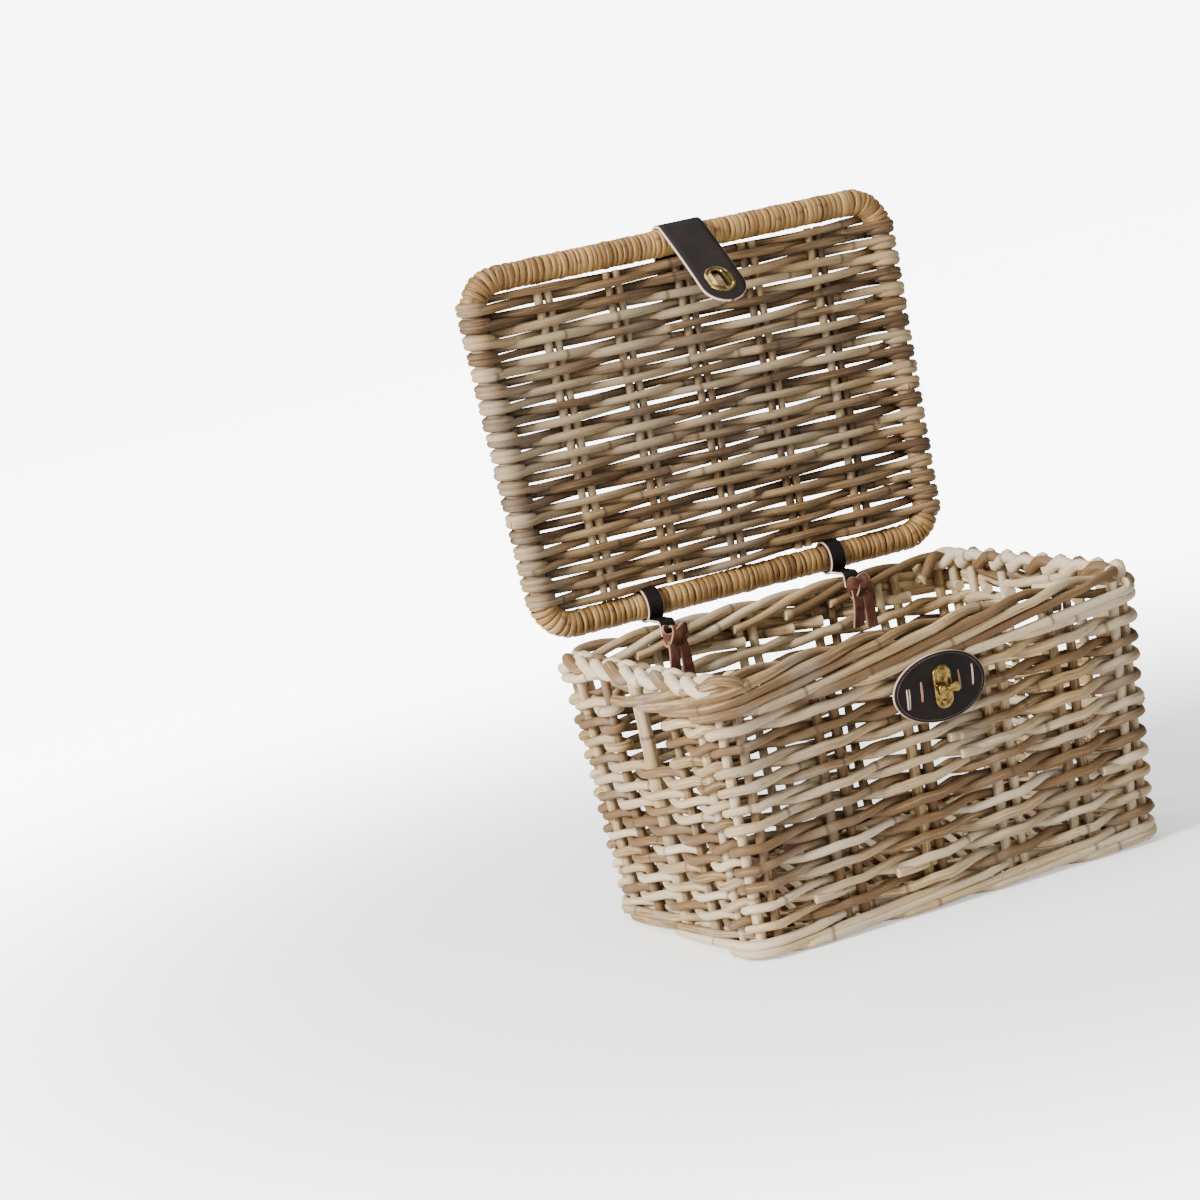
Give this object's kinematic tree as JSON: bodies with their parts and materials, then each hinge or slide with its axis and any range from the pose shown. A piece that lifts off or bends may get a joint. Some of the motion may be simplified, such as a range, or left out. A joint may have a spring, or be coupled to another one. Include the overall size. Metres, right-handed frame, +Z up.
{
  "type": "lidded bicycle basket",
  "caption": "Rectangular woven cane basket with a cane-framed lid tied on with leather, a leather strap and a turn lock, for a bicycle's front carrier.",
  "frame": {"origin": "middle of the base, on the surface that the basket stands on", "axes": "+X along the long front face, +Y from the front face with the lock to the hinged rear, +Z up; the lid stands open"},
  "size_m": [0.4118, 0.3443, 0.5477],
  "materials": {
    "cane": "dry peeled cane, grey-beige, matt",
    "lid_cane": "browner cane, matt to satin",
    "peel_wrap": "glossy cane peel, golden",
    "dark_leather": "smooth dark brown leather with pale raw edges",
    "tie_leather": "reddish brown suede side",
    "aged_brass": "antique brass, worn bright on its edges"
  },
  "bodies": {
    "basket": {"base_sticks": "cane", "base_weave": "cane", "foot_border": "cane", "front_stakes": "cane", "rear_stakes": "cane", "left_stakes": "cane", "right_stakes": "cane", "corner_posts": "cane", "left_handle_post": "cane", "right_handle_post": "cane", "front_weave": "cane", "rear_weave": "cane", "left_weave": "cane", "right_weave": "cane", "front_border": "cane", "rear_border": "cane", "left_border": "cane", "right_border": "cane", "lock_backing_plate": "aged_brass", "lock_patch": "dark_leather", "lock_plate": "aged_brass", "lock_screws": "aged_brass", "patch_laces": "tie_leather", "left_hinge_band": "dark_leather", "left_hinge_knot": "tie_leather", "right_hinge_band": "dark_leather", "right_hinge_knot": "tie_leather"},
    "lid": {"lid_front_bar": "lid_cane", "lid_rear_bar": "lid_cane", "lid_left_rail": "lid_cane", "lid_right_rail": "lid_cane", "lid_ribs": "lid_cane", "lid_weave": "lid_cane", "lid_front_wrap": "peel_wrap", "lid_rear_wrap": "peel_wrap", "strap_anchor": "dark_leather", "strap_anchor_laces": "tie_leather"},
    "strap": {"strap_tongue": "dark_leather", "eyelet_plate": "aged_brass", "eyelet_back_plate": "aged_brass"},
    "turn_button": {"turn_spindle": "aged_brass", "turn_button": "aged_brass"}
  },
  "joints": [
    {"name": "lid_hinge", "type": "hinge", "parent": "basket", "child": "lid", "pos_m": [0, 0.157, 0.242], "axis": [1, 0, 0], "range_deg": [0, 92]},
    {"name": "strap_flex", "type": "hinge", "parent": "lid", "child": "strap", "pos_m": [0, 0.16719, 0.53382], "axis": [1, 0, 0], "range_deg": [-58, 0]},
    {"name": "turn_button_spin", "type": "hinge", "parent": "basket", "child": "turn_button", "pos_m": [0, -0.14508, 0.175], "axis": [0, -0.9972, -0.0744], "range_deg": [0, 90]}
  ],
  "couplings": [
    {"joint": "strap_flex", "follows": "lid_hinge", "ratio": -0.6304}
  ]
}
